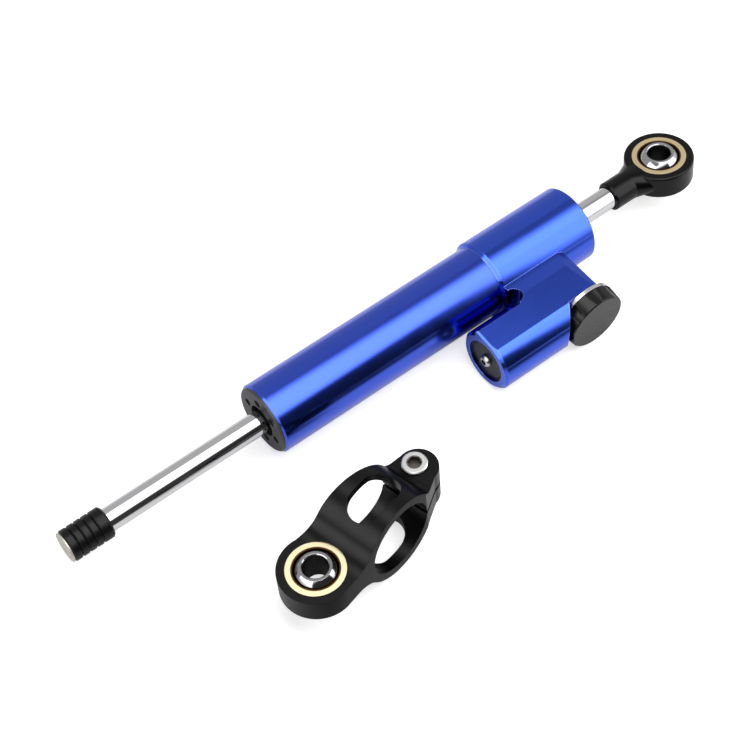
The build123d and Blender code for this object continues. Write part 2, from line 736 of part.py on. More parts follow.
def rod_eye():
    disc = Cylinder(EYE_D / 2, EYE_THICK)
    disc = fillet(disc.edges().filter_by(GeomType.CIRCLE), EYE_EDGE)
    straight_end = SHANK_END + SHANK_STRAIGHT
    shank = turned([
        (SHANK_END, 0),
        (SHANK_END, SHANK_D / 2 - SHANK_EDGE),
        (SHANK_END + SHANK_EDGE, SHANK_D / 2),
        (straight_end, SHANK_D / 2),
        (straight_end, 0),
    ])
    round_end = Plane((straight_end, 0, 0), x_dir=(0, 1, 0), z_dir=(1, 0, 0)) * Circle(SHANK_D / 2)
    eye_end = Plane((-NECK_INSIDE_EYE, 0, 0), x_dir=(0, 1, 0), z_dir=(1, 0, 0)) * Ellipse(
        NECK_WIDTH / 2, EYE_THICK / 2)
    neck = loft([round_end, eye_end])
    body = disc + shank + neck
    body -= Cylinder(BEARING_R, EYE_THICK + CUT)
    body -= bar(ROD_R + SEAT_GAP, SHANK_END - CUT, SHANK_END + ROD_THREAD_RIGHT + SEAT_GAP)
    return eye_place() * body


def eye_place():
    """Roll of the rod eye round the rod."""
    return Rot(-EYE_ROLL, 0, 0)


def reservoir_plug():
    outer = RESERVOIR_R - SEAT_GAP
    ring_start = PLUG_END - PLUG_RING_FROM_IN - PLUG_RING_WIDTH
    groove_r = outer - PLUG_RING_SECTION
    step_r = RESERVOIR_R + CIRCLIP_GROOVE - CIRCLIP_RADIAL - REST_GAP
    plug = turned([
        (PLUG_FACE, 0),
        (PLUG_FACE, step_r),
        (CIRCLIP_END, step_r),
        (CIRCLIP_END, outer),
        (ring_start, outer),
        (ring_start, groove_r),
        (ring_start + PLUG_RING_WIDTH, groove_r),
        (ring_start + PLUG_RING_WIDTH, outer),
        (PLUG_END, outer),
        (PLUG_END, 0),
    ])
    plug -= bar(FILL_SHANK_D / 2, PLUG_FACE - CUT, PLUG_END + CUT)
    return Pos(0, SIDE_Y, SIDE_Z) * plug


def plug_ring():
    ring_middle = PLUG_END - PLUG_RING_FROM_IN - PLUG_RING_WIDTH / 2
    ring = rubber_ring(RESERVOIR_R - SEAT_GAP - PLUG_RING_SECTION / 2,
                       PLUG_RING_SECTION - SEAT_GAP, ring_middle)
    return Pos(0, SIDE_Y, SIDE_Z) * ring


def plug_circlip():
    outer = RESERVOIR_R + CIRCLIP_GROOVE - SEAT_GAP
    ring = sleeve(outer, outer - CIRCLIP_RADIAL, CIRCLIP_START, CIRCLIP_END)
    half = math.radians(CIRCLIP_OPENING / 2)
    reach = RESERVOIR_D
    wedge = make_face(Polyline(
        (CIRCLIP_START - CUT, 0, 0),
        (CIRCLIP_START - CUT, -reach * math.sin(half), reach * math.cos(half)),
        (CIRCLIP_START - CUT, reach * math.sin(half), reach * math.cos(half)),
        close=True))
    ring -= extrude(wedge, amount=CIRCLIP_THICK + 2 * CUT, dir=(1, 0, 0))
    return Pos(0, SIDE_Y, SIDE_Z) * ring


def fill_screw():
    head = Pos(PLUG_FACE, 0, 0) * Rot(0, -90, 0) * Cylinder(
        FILL_HEAD_D / 2, FILL_HEAD_LENGTH, align=(Align.CENTER, Align.CENTER, Align.MIN))
    crown = head.edges().sort_by(Axis.X)[0]
    head = fillet(crown, FILL_HEAD_LENGTH * CROWN_SHARE)
    screw = head + bar(FILL_SHANK_D / 2 - SEAT_GAP, PLUG_FACE, PLUG_FACE + FILL_SHANK_LENGTH)
    top = PLUG_FACE - FILL_HEAD_LENGTH
    socket = Plane((top - CUT, 0, 0), x_dir=(0, 1, 0), z_dir=(1, 0, 0))
    hexagon = socket * RegularPolygon(FILL_HEX / 2, HEX_SIDES, major_radius=False)
    screw -= extrude(hexagon, amount=CUT + FILL_HEX_DEPTH)
    return Pos(0, SIDE_Y, SIDE_Z) * screw


def floating_piston():
    start = FLOAT_START
    outer = RESERVOIR_R - SLIDE_GAP
    ring_start = start + FLOAT_LENGTH / 2 - FLOAT_RING_WIDTH / 2
    groove_r = outer - FLOAT_RING_SECTION
    body = turned([
        (start + FLOAT_DISH_DEPTH, 0),
        (start + FLOAT_DISH_DEPTH, FLOAT_DISH_D / 2),
        (start, FLOAT_DISH_D / 2),
        (start, outer),
        (ring_start, outer),
        (ring_start, groove_r),
        (ring_start + FLOAT_RING_WIDTH, groove_r),
        (ring_start + FLOAT_RING_WIDTH, outer),
        (start + FLOAT_LENGTH, outer),
        (start + FLOAT_LENGTH, 0),
    ])
    return Pos(0, SIDE_Y, SIDE_Z) * body


def float_ring():
    middle = FLOAT_START + FLOAT_LENGTH / 2
    ring = rubber_ring(RESERVOIR_R - SLIDE_GAP - FLOAT_RING_SECTION / 2,
                       FLOAT_RING_SECTION - SEAT_GAP, middle)
    return Pos(0, SIDE_Y, SIDE_Z) * ring


def valve_gland():
    """Screwed bush that guides the spindle and carries the knob."""
    bore = SPINDLE_D / 2 + SLIDE_GAP
    body = pin(GLAND_SHANK_D / 2, VALVE_GLAND_Y, SPOT_Y)
    body += pin(GLAND_BOSS_D / 2, SPOT_Y, BOSS_END_Y)
    body -= pin(bore, VALVE_GLAND_Y + CUT, BOSS_END_Y - CUT)
    ring_y = VALVE_GLAND_Y - SPINDLE_RING_FROM_INNER
    body -= pin(SPINDLE_D / 2 + SPINDLE_RING_SECTION, ring_y, ring_y - SPINDLE_RING_WIDTH)
    groove_y = BOSS_END_Y + GLAND_GROOVE_FROM_END + GLAND_GROOVE_WIDTH
    body -= knob_ring(GLAND_BOSS_D, GLAND_BOSS_D / 2 - GLAND_GROOVE_DEPTH,
                      groove_y, groove_y - GLAND_GROOVE_WIDTH)
    return body


def spindle_ring():
    ring_y = VALVE_GLAND_Y - SPINDLE_RING_FROM_INNER - SPINDLE_RING_WIDTH / 2
    ring = Torus(SPINDLE_D / 2 + SPINDLE_RING_SECTION / 2 + SEAT_GAP, SPINDLE_RING_SECTION / 2 - SEAT_GAP)
    return Pos(KNOB_X, ring_y, SIDE_Z) * Rot(90, 0, 0) * ring


def needle_valve():
    """Spindle with a hexagon that slides in the knob and a tapered nose in the port."""
    nose_y = VALVE_SEAT_Y + NEEDLE_OVERLAP
    taper_y = nose_y - NEEDLE_TAPER
    hex_y = BOSS_END_Y + NEEDLE_TRAVEL / 2
    body = pin(SPINDLE_D / 2, taper_y, hex_y)
    nose = Cone(SPINDLE_D / 2, NEEDLE_TIP_D / 2, NEEDLE_TAPER,
                align=(Align.CENTER, Align.CENTER, Align.MIN))
    body += Pos(KNOB_X, taper_y, SIDE_Z) * Rot(-90, 0, 0) * nose
    plane = Plane((KNOB_X, hex_y, SIDE_Z), x_dir=(1, 0, 0), z_dir=(0, -1, 0))
    hexagon = plane * RegularPolygon(SPINDLE_HEX / 2, HEX_SIDES, major_radius=False)
    body += extrude(hexagon, amount=SPINDLE_HEX_LENGTH)
    return body


def dial_ring():
    """Bright click plate behind the knob, with one shallow stop for each click."""
    plate = knob_ring(DIAL_D / 2, GLAND_BOSS_D / 2 + SEAT_GAP, SPOT_Y, DIAL_Y)
    stop = pin(DIAL_STOP_D / 2, DIAL_Y + DIAL_STOP_DEPTH, DIAL_Y - CUT, x=0, z=0)
    for number in range(DIAL_STOPS):
        turn = Rot(0, 360 * number / DIAL_STOPS, 0)
        spot = turn * Pos(DIAL_STOP_CIRCLE_D / 2, 0, 0)
        plate -= Pos(KNOB_X, 0, SIDE_Z) * spot * stop
    return plate


def adjuster_knob():
    back = KNOB_BACK_Y
    cone = Cone(KNOB_BACK_D / 2, KNOB_FACE_D / 2, KNOB_LENGTH,
                align=(Align.CENTER, Align.CENTER, Align.MIN))
    knob = Rot(90, 0, 0) * cone
    knob = chamfer(knob.edges().sort_by(Axis.Y)[0], KNOB_FACE_EDGE)
    flute_centre = KNOB_BACK_D / 2 + KNOB_FLUTE_D / 2 - KNOB_FLUTE_DEPTH
    flute = Cylinder(KNOB_FLUTE_D / 2, KNOB_LENGTH + CUT, align=(Align.CENTER, Align.CENTER, Align.CENTER))
    flute = Rot(90, 0, 0) * flute
    for number in range(KNOB_FLUTES):
        angle = 360 * number / KNOB_FLUTES
        knob -= Rot(0, angle, 0) * Pos(flute_centre, -KNOB_LENGTH / 2, 0) * flute
    knob = Pos(KNOB_X, back, SIDE_Z) * knob
    knob -= pin(GLAND_BOSS_D / 2 + SLIDE_GAP, back + CUT, BOSS_END_Y - REST_GAP)
    plane = Plane((KNOB_X, BOSS_END_Y, SIDE_Z), x_dir=(1, 0, 0), z_dir=(0, -1, 0))
    hexagon = plane * RegularPolygon(SPINDLE_HEX / 2 + SLIDE_GAP, HEX_SIDES, major_radius=False)
    knob -= extrude(hexagon, amount=BOSS_END_Y - KNOB_FACE_Y - KNOB_WALL)
    knob -= click_hole()
    knob -= set_screw_hole()
    return knob


def click_hole():
    x = KNOB_X + DIAL_STOP_CIRCLE_D / 2
    depth = CLICK_BALL_D + CLICK_SPRING_LENGTH
    return pin(CLICK_BALL_D / 2 + SLIDE_GAP, KNOB_BACK_Y + CUT, KNOB_BACK_Y - depth + KNOB_GAP, x=x)


def click_ball():
    centre_y = DIAL_Y - SLIDE_GAP - CLICK_BALL_D / 2
    return Pos(KNOB_X + DIAL_STOP_CIRCLE_D / 2, centre_y, SIDE_Z) * Sphere(CLICK_BALL_D / 2)


def click_spring():
    """Small spring behind the click ball, drawn as the sleeve that it fills."""
    x = KNOB_X + DIAL_STOP_CIRCLE_D / 2
    start = DIAL_Y - SLIDE_GAP - CLICK_BALL_D
    end = start - CLICK_SPRING_LENGTH + SLIDE_GAP
    body = pin(CLICK_SPRING_D / 2, start, end, x=x)
    return body - pin(CLICK_SPRING_BORE / 2, start + CUT, end - CUT, x=x)


def set_screw_y():
    return BOSS_END_Y + GLAND_GROOVE_FROM_END + GLAND_GROOVE_WIDTH / 2


def set_screw_hole():
    reach = KNOB_BACK_D
    hole = Cylinder(SET_SCREW_D / 2 + SEAT_GAP, reach, align=(Align.CENTER, Align.CENTER, Align.MIN))
    return Pos(KNOB_X, set_screw_y(), SIDE_Z) * Rot(180, 0, 0) * hole


def knob_set_screw():
    tip = GLAND_BOSS_D / 2 - GLAND_GROOVE_DEPTH + REST_GAP
    body = Cylinder(SET_SCREW_D / 2, SET_SCREW_LENGTH, align=(Align.CENTER, Align.CENTER, Align.MIN))
    socket = Pos(0, 0, SET_SCREW_LENGTH - SET_SCREW_HEX_DEPTH) * extrude(
        RegularPolygon(SET_SCREW_HEX / 2, HEX_SIDES, major_radius=False), amount=SET_SCREW_HEX_DEPTH + CUT)
    screw = body - socket
    neck_r = GLAND_GROOVE_WIDTH / 2 - SLIDE_GAP
    neck_length = GLAND_GROOVE_DEPTH - REST_GAP + SLIDE_GAP * 2
    screw -= (Cylinder(SET_SCREW_D, neck_length, align=(Align.CENTER, Align.CENTER, Align.MIN))
              - Cylinder(neck_r, neck_length, align=(Align.CENTER, Align.CENTER, Align.MIN)))
    return Pos(KNOB_X, set_screw_y(), SIDE_Z) * Rot(180, 0, 0) * Pos(0, 0, tip) * screw


def clamp_place():
    """Place of the bracket's own frame: it lies on its ring, in front of the damper."""
    lean = math.radians(CLAMP_LEAN)
    ring_r = CLAMP_BORE / 2 + CLAMP_WALL
    eye_r = CLAMP_EYE_D / 2
    ear_back = CLAMP_EAR_D / 2 - CLAMP_SIDE_SHIFT
    back = eye_r + (ear_back - eye_r) * CLAMP_RING_AT / CLAMP_SCREW_AT
    height = ring_r * math.cos(lean) + back * math.sin(lean)
    return Pos(CLAMP_EYE_X, CLAMP_EYE_Y, FLOOR_Z + height) * Rot(0, 0, CLAMP_TURN) * Rot(-CLAMP_LEAN, 0, 0)


def clamp_side_view():
    """Outline of the bracket seen along the ring's bore."""
    ring = Pos(CLAMP_RING_AT, 0) * Circle(CLAMP_BORE / 2 + CLAMP_WALL)
    arm = Pos(-CLAMP_EYE_D / 2, 0) * Rectangle(
        CLAMP_RING_AT + CLAMP_EYE_D / 2, CLAMP_EYE_THICK, align=(Align.MIN, Align.CENTER))
    ear_end = CLAMP_SCREW_AT + CLAMP_EAR_D / 2
    ears = Pos(CLAMP_RING_AT, -CLAMP_EAR_BOTTOM) * Rectangle(
        ear_end - CLAMP_RING_AT, CLAMP_EAR_BOTTOM + CLAMP_EAR_TOP, align=(Align.MIN, Align.MIN))
    outline = ring + arm + ears
    radius = CLAMP_BORE / 2 + CLAMP_WALL
    eye_corners = corners_at(outline, CLAMP_RING_AT - math.sqrt(radius ** 2 - (CLAMP_EYE_THICK / 2) ** 2))
    outline = fillet(eye_corners, CLAMP_BLEND_EYE)
    ear_corners = [
        corner
        for height in (CLAMP_EAR_TOP, CLAMP_EAR_BOTTOM)
        for corner in corners_at(outline, CLAMP_RING_AT + math.sqrt(radius ** 2 - height ** 2))]
    return fillet(ear_corners, CLAMP_BLEND_EAR)


def corners_at(outline, x):
    """Corners of an outline that stand at the given x."""
    return [corner for corner in outline.vertices() if abs(corner.X - x) < SLIDE_GAP]


def clamp_plan_view():
    """Outline of the bracket seen along the eye's bore, with one straight side at the back."""
    ear_r = CLAMP_EAR_D / 2
    sides = make_face(Polyline(
        (0, CLAMP_EYE_D / 2),
        (CLAMP_SCREW_AT, ear_r - CLAMP_SIDE_SHIFT),
        (CLAMP_SCREW_AT, -ear_r - CLAMP_SIDE_SHIFT),
        (CLAMP_RING_AT + CLAMP_BORE / 2, -CLAMP_FRONT),
        (CLAMP_RING_AT - CLAMP_BORE / 2, -CLAMP_FRONT),
        (0, -CLAMP_EYE_D / 2),
        close=True))
    return sides + Circle(CLAMP_EYE_D / 2) + Pos(CLAMP_SCREW_AT, -CLAMP_SIDE_SHIFT) * Circle(ear_r)


def clamp_body():
    tall = 2 * CLAMP_BORE
    side = extrude(Plane.XZ * clamp_side_view(), amount=tall / 2, both=True)
    plan = extrude(clamp_plan_view(), amount=tall / 2, both=True)
    body = side & plan
    bore = Pos(CLAMP_RING_AT, 0, 0) * Rot(90, 0, 0) * Cylinder(CLAMP_BORE / 2, tall)
    body -= bore
    window = Pos(CLAMP_RING_AT, -CLAMP_SIDE_SHIFT, 0) * extrude(
        SlotOverall(CLAMP_WINDOW_LENGTH, CLAMP_WINDOW_WIDTH), amount=tall / 2, both=True)
    body -= window
    split_length = CLAMP_SCREW_AT + CLAMP_EAR_D - CLAMP_RING_AT
    body -= Pos(CLAMP_RING_AT, 0, clamp_split_z()) * Box(
        split_length, 2 * CLAMP_EYE_D, CLAMP_SPLIT, align=(Align.MIN, Align.CENTER, Align.CENTER))
    body -= Cylinder(BEARING_R, 2 * CLAMP_EYE_THICK)
    screw_hole = Pos(0, 0, CLAMP_EAR_TOP - PINCH_SINK) * Cylinder(
        PINCH_HEAD_D / 2 + PINCH_SEAT_GAP, PINCH_HEAD_LENGTH, align=(Align.CENTER, Align.CENTER, Align.MIN))
    screw_hole += Pos(0, 0, clamp_split_z()) * Cylinder(
        PINCH_D / 2 + PINCH_GAP, CLAMP_EAR_TOP, align=(Align.CENTER, Align.CENTER, Align.MIN))
    screw_hole += Pos(0, 0, clamp_split_z()) * Cylinder(
        PINCH_D / 2 + SEAT_GAP, CLAMP_EAR_BOTTOM + CUT, align=(Align.CENTER, Align.CENTER, Align.MAX))
    body -= Pos(CLAMP_SCREW_AT, -CLAMP_SCREW_SHIFT, 0) * screw_hole
    return clamp_place() * body


def clamp_split_z():
    """The split between the ears lies half way up them."""
    return (CLAMP_EAR_TOP - CLAMP_EAR_BOTTOM) / 2


def clamp_screw():
    seat = CLAMP_EAR_TOP - PINCH_SINK
    head = Cylinder(PINCH_HEAD_D / 2, PINCH_HEAD_LENGTH, align=(Align.CENTER, Align.CENTER, Align.MIN))
    head = chamfer(head.edges().sort_by(Axis.Z)[-1], PINCH_HEAD_EDGE)
    shank = Cylinder(PINCH_D / 2, PINCH_LENGTH, align=(Align.CENTER, Align.CENTER, Align.MAX))
    socket = Pos(0, 0, PINCH_HEAD_LENGTH - PINCH_HEX_DEPTH) * extrude(
        RegularPolygon(PINCH_HEX / 2, HEX_SIDES, major_radius=False), amount=PINCH_HEX_DEPTH + CUT)
    screw = head + shank - socket
    return clamp_place() * Pos(CLAMP_SCREW_AT, -CLAMP_SCREW_SHIFT, seat) * screw


PIECES = {
    "barrel_tube": barrel_tube,
    "inner_liner": inner_liner,
    "head_block": head_block,
    "rear_bush": rear_bush,
    "rear_rod_seal": rear_seal,
    "rear_wiper": rear_wiper,
    "front_gland": front_gland,
    "front_wiper": front_wiper,
    "front_rod_seal": front_seal,
    "front_bush": front_bush,
    "front_gland_oring": gland_ring,
    "piston_rod": piston_rod,
    "piston": piston,
    "piston_ring": piston_ring,
    "piston_clips": piston_clips,
    "rod_buffer": buffer,
    "buffer_end_disc": buffer_disc,
    "rod_eye": rod_eye,
    "rod_eye_race": lambda: eye_place() * race(),
    "rod_eye_ball": lambda: eye_place() * bearing_ball(),
    "reservoir_plug": reservoir_plug,
    "plug_oring": plug_ring,
    "plug_circlip": plug_circlip,
    "fill_screw": fill_screw,
    "floating_piston": floating_piston,
    "float_oring": float_ring,
    "valve_gland": valve_gland,
    "spindle_oring": spindle_ring,
    "needle_valve": needle_valve,
    "dial_ring": dial_ring,
    "adjuster_knob": adjuster_knob,
    "click_ball": click_ball,
    "click_spring": click_spring,
    "knob_set_screw": knob_set_screw,
    "clamp_body": clamp_body,
    "clamp_race": lambda: clamp_place() * race(),
    "clamp_ball": lambda: clamp_place() * bearing_ball(),
    "clamp_screw": clamp_screw,
}

for piece_name, make_piece in PIECES.items():
    save(piece_name, make_piece())
    print(piece_name)
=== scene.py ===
# %% [markdown]
# # A motorcycle steering damper in Blender
# The damper has a bright rod that slides through a blue tube, a blue valve head
# with a black adjuster knob, and a spherical bearing in a black eye. A black
# clamp bracket lies loose in front of it.
# Every part was made in CAD at its true size, so this lesson is about finishes:
# how each metal was turned, polished, plated or anodised, what that gives the
# eye, and how a studio is lit so that shiny metal reads well.

# %% Load the CAD parts as a fixed frame
import bmesh
import bpy
import math
from mathutils import Euler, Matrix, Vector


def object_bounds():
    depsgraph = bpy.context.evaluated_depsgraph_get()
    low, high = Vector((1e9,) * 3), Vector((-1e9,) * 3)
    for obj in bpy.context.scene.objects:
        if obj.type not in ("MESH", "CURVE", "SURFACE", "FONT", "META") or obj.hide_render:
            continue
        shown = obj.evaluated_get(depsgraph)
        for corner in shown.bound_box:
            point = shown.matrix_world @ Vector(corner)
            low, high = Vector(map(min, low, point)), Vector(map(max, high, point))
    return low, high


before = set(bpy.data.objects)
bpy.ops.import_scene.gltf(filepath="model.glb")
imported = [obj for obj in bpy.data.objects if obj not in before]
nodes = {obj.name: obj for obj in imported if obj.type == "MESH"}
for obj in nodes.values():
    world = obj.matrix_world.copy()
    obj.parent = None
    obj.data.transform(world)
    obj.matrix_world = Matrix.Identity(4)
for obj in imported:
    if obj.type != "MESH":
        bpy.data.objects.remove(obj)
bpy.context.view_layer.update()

# %% [markdown]
# ## The camera
# The photograph was taken from above the rubber end, with a long lens. The
# place and turn below were found by matching the outlines of the CAD parts to
# it. A long lens keeps the two bearings nearly the same size.

# %% Camera
CAMERA_PLACE_M = (-0.3369, -0.2663, 0.4872)
CAMERA_TILT_DEG = 33.94  # 0 would look straight down
CAMERA_HEADING_DEG = -38.16
FILM_MM, LENS_MM = 36, 86.4
NEAREST_M = 0.01

camera = bpy.data.objects.new("camera", bpy.data.cameras.new("camera"))
bpy.context.scene.collection.objects.link(camera)
bpy.context.scene.camera = camera
camera.location = CAMERA_PLACE_M
camera.rotation_euler = Euler((math.radians(CAMERA_TILT_DEG), 0, math.radians(CAMERA_HEADING_DEG)))
camera.data.sensor_width = FILM_MM
camera.data.lens = LENS_MM
camera.data.clip_start = NEAREST_M
print("camera", [round(v, 3) for v in camera.location], camera.data.lens, "mm")

# %% [markdown]
# ## Small helpers
# Colours are written as sRGB hex, as a paint program shows them, and Blender's
# shaders want linear light, so one function turns one into the other. Another
# adds a shader node with its settings and links, so that a material reads as a
# short list of steps.

# %% Colour and node helpers
def linear(hex_code):
    """Linear colour with alpha, from an sRGB hex value. The numbers are the sRGB standard's."""
    shares = [int(hex_code[i:i + 2], 16) / 255 for i in (1, 3, 5)]
    return tuple(s / 12.92 if s <= 0.04045 else ((s + 0.055) / 1.055) ** 2.4
                 for s in shares) + (1.0,)


def add_node(tree, kind, inputs=None, **settings):
    """Adds a node, sets its properties, and fills or links its inputs by name or number."""
    node = tree.nodes.new(kind)
    for name, value in settings.items():
        setattr(node, name, value)
    for name, value in (inputs or {}).items():
        if isinstance(value, bpy.types.NodeSocket):
            tree.links.new(value, node.inputs[name])
        else:
            node.inputs[name].default_value = value
    return node


WHITE = linear("#FFFFFF")
print("mid grey #808080 in linear light:", round(linear("#808080")[0], 3))

# %% [markdown]
# ## The studio
# Shiny metal has almost no look of its own: it shows the room. The photograph's room can be read
# from the tube and the rod. Their tops carry a wide bright band with soft edges, which is a
# diffuser overhead. Below it runs a black band: a flag stands in front of the table, and at its
# foot the table is painted dark grey in reflections, a painted shade for the shade there. To the
# right the flag ends and a second diffuser shines past it. The far side is plain grey.
# A third diffuser, at the left, isn't read from the photograph. It was a trial, and without it the
# scene comes a little closer to the photograph.
# Two area lights give the light itself. They are kept out of reflections, where
# the metal sees cards instead, whose glow fades as a diffuser's does.

# %% World
# The background is white where it is seen. The light that it sheds is weaker,
# so that the softboxes do the lighting.
SHED_STRENGTH, SEEN_STRENGTH = 0.45, 1.0

table_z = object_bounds()[0].z
world = bpy.data.worlds.new("studio_air")
bpy.context.scene.world = world
world.use_nodes = True
sky = world.node_tree
sky.nodes.clear()
rays = add_node(sky, "ShaderNodeLightPath")
seen = add_node(sky, "ShaderNodeMath", {
    0: rays.outputs["Is Camera Ray"], 1: rays.outputs["Is Glossy Ray"]}, operation="MAXIMUM")
seen = add_node(sky, "ShaderNodeMath", {
    0: seen.outputs[0], 1: rays.outputs["Is Transmission Ray"]}, operation="MAXIMUM")
shed = add_node(sky, "ShaderNodeBackground", {"Color": WHITE, "Strength": SHED_STRENGTH})
white = add_node(sky, "ShaderNodeBackground", {"Color": WHITE, "Strength": SEEN_STRENGTH})
air = add_node(sky, "ShaderNodeMixShader", {
    0: seen.outputs[0], 1: shed.outputs[0], 2: white.outputs[0]})
add_node(sky, "ShaderNodeOutputWorld", {"Surface": air.outputs[0]})
print("table top at z =", round(table_z, 5), "m")


# %% A flat card or table top from four corners
def flat_piece(name, corners, material):
    """One-faced stage piece."""
    shape = bmesh.new()
    shape.faces.new([shape.verts.new(corner) for corner in corners])
    mesh = bpy.data.meshes.new(name)
    shape.to_mesh(mesh)
    shape.free()
    mesh.materials.append(material)
    piece = bpy.data.objects.new(name, mesh)
    bpy.context.scene.collection.objects.link(piece)
    return piece


# %% Materials of the studio
ALONG_X, ALONG_Y, UPWARD = (1, 0, 0), (0, 1, 0), (0, 0, 1)


def stage_material(name, kind, inputs):
    """Material of one plain shader. Returns it with its node tree and the shader."""
    material = bpy.data.materials.new(name)
    material.use_nodes = True
    tree = material.node_tree
    tree.nodes.clear()
    surface = add_node(tree, kind, inputs)
    add_node(tree, "ShaderNodeOutputMaterial", {"Surface": surface.outputs[0]})
    return material, tree, surface


def faded(tree, steps):
    """Share that rises from 0 to 1 by steps of (how it joins, direction, start, end), in metres."""
    where = add_node(tree, "ShaderNodeTexCoord").outputs["Object"]
    share = 1.0
    for join, direction, start, end in steps:
        along = add_node(tree, "ShaderNodeVectorMath", {0: where, 1: direction},
                         operation="DOT_PRODUCT")
        step = add_node(tree, "ShaderNodeMapRange", {
            "Value": along.outputs["Value"], "From Min": start, "From Max": end},
            interpolation_type="SMOOTHSTEP")
        share = add_node(tree, "ShaderNodeMath", {0: share, 1: step.outputs[0]},
                         operation=join).outputs[0]
    return share


# %% White table
# White paper to the camera. A glow that only the camera sees keeps its shadows faint, as the
# photograph has none: real paper has no such glow. In reflections its front, outside the picture,
# is painted dark grey: a painted shade for the shade that falls there.
PAPER, FRONT_SHADE_GREY = "#D9D9D9", "#4A4A4A"
PAPER_GLOW = 0.62
TABLE_REACH_M = 3

table_white, tree, paper = stage_material("white_table", "ShaderNodeBsdfDiffuse", {})
rays = add_node(tree, "ShaderNodeLightPath")
# Painted shade: in reflections only, the table's front is painted dark grey.
painted_front_shade = faded(tree, [("MULTIPLY", ALONG_Y, -0.05, -0.10),
                     ("MULTIPLY", ALONG_X, 0.08, -0.06)])
painted_front_shade = add_node(tree, "ShaderNodeMath", {0: painted_front_shade, 1: rays.outputs["Is Glossy Ray"]},
                 operation="MULTIPLY")
paint = add_node(tree, "ShaderNodeMix", {
    "Factor": painted_front_shade.outputs[0], "A": linear(PAPER), "B": linear(FRONT_SHADE_GREY)}, data_type="RGBA")
tree.links.new(paint.outputs["Result"], paper.inputs["Color"])
lift = add_node(tree, "ShaderNodeMath", {0: rays.outputs["Is Camera Ray"], 1: PAPER_GLOW},
                operation="MULTIPLY")
glow = add_node(tree, "ShaderNodeEmission", {"Color": WHITE, "Strength": lift.outputs[0]})
both = add_node(tree, "ShaderNodeAddShader", {0: paper.outputs[0], 1: glow.outputs[0]})
tree.links.new(both.outputs[0], tree.nodes["Material Output"].inputs["Surface"])
table = flat_piece("table_top", [(-TABLE_REACH_M, -TABLE_REACH_M, table_z),
                                 (TABLE_REACH_M, -TABLE_REACH_M, table_z),
                                 (TABLE_REACH_M, TABLE_REACH_M, table_z),
                                 (-TABLE_REACH_M, TABLE_REACH_M, table_z)], table_white)
print(table.name, 2 * TABLE_REACH_M, "m wide")


# %% Softboxes overhead
BOX_HEIGHT_M = 0.50
BOX_RADIANCE = 3.6


def softbox(name, low, high):
    """Area light over a rectangle of the table, unseen in reflections.

    Its power grows with its area, so all boxes are equally bright.
    """
    width, depth = high[0] - low[0], high[1] - low[1]
    lamp = bpy.data.lights.new(name, "AREA")
    lamp.shape = "RECTANGLE"
    lamp.size, lamp.size_y = width, depth
    lamp.energy = BOX_RADIANCE * math.pi * width * depth
    box = bpy.data.objects.new(name, lamp)
    box.location = ((low[0] + high[0]) / 2, (low[1] + high[1]) / 2, BOX_HEIGHT_M)
    bpy.context.scene.collection.objects.link(box)
    box.visible_camera = False
    box.visible_glossy = False
    return box


left_box = softbox("softbox_left", (-0.25, -0.44), (0.08, 0.19))
right_box = softbox("softbox_right", (0.08, -0.47), (0.40, -0.095))
print("softboxes", round(left_box.data.energy, 2), "and", round(right_box.data.energy, 2), "W")

# %% [markdown]
# ## Cards for the reflections
# A real diffuser is brightest in its middle and fades to its edges, and that fade is what makes a
# band on a tube look soft. Each card below glows from a dark level to a bright one along the
# directions that its steps name. Places and levels were tuned until the bands came near the
# photograph's. Where metal mirrors metal, plain mirroring looked too bright, so a card is weaker
# after the first bounce. That is a correction, and light itself doesn't do it.

# %% Glowing cards, seen only in reflections
LATER_BOUNCE_SHARE = 0.25
NOT_SEEN_BY = ("visible_camera", "visible_diffuse", "visible_shadow", "visible_transmission")


def glow_card(name, corners, dark, bright, steps):
    """Card whose glow goes from dark to bright as its steps fade."""
    material, tree, glow = stage_material(name, "ShaderNodeEmission", {"Color": WHITE})
    level = add_node(tree, "ShaderNodeMapRange", {
        "Value": faded(tree, steps), "To Min": dark, "To Max": bright})
    bounce = add_node(tree, "ShaderNodeMapRange", {
        "Value": add_node(tree, "ShaderNodeLightPath").outputs["Ray Depth"],
        "From Min": 1.0, "From Max": 2.0, "To Min": 1.0, "To Max": LATER_BOUNCE_SHARE})
    power = add_node(tree, "ShaderNodeMath", {0: level.outputs[0], 1: bounce.outputs[0]},
                     operation="MULTIPLY")
    tree.links.new(power.outputs[0], glow.inputs["Strength"])
    card = flat_piece(name, corners, material)
    for ray in NOT_SEEN_BY:
        setattr(card, ray, False)
    print(card.name, dark, "to", bright)


# %% The four cards
# The long cards reach past the damper at both ends, so that no band stops short.
LONG_LEFT_X, LONG_RIGHT_X = -1.0, 1.4
FRONT_Y, BACK_FOOT_Y, BACK_TOP_Y = -0.45, 0.30, 0.40
CEILING_Z = 0.75
SIDE_X, SIDE_FRONT_Y, SIDE_BACK_Y, SIDE_FOOT_Z, SIDE_TOP_Z = -0.80, -0.60, 0.50, 0.0, 0.70

# The ceiling's glow fades towards the back right along a slanting line, tuned to
# the upper edges of the bands on tube and collar, and towards its left end.
BACK_RIGHT = (0.75, 1, 0)
glow_card("ceiling_diffuser",
          [(LONG_LEFT_X, FRONT_Y, CEILING_Z), (LONG_RIGHT_X, FRONT_Y, CEILING_Z),
           (LONG_RIGHT_X, BACK_TOP_Y, CEILING_Z), (LONG_LEFT_X, BACK_TOP_Y, CEILING_Z)],
          dark=0.35, bright=3.1,
          steps=[("MULTIPLY", BACK_RIGHT, 0.43, 0.06), ("MULTIPLY", ALONG_X, -0.50, -0.28)])
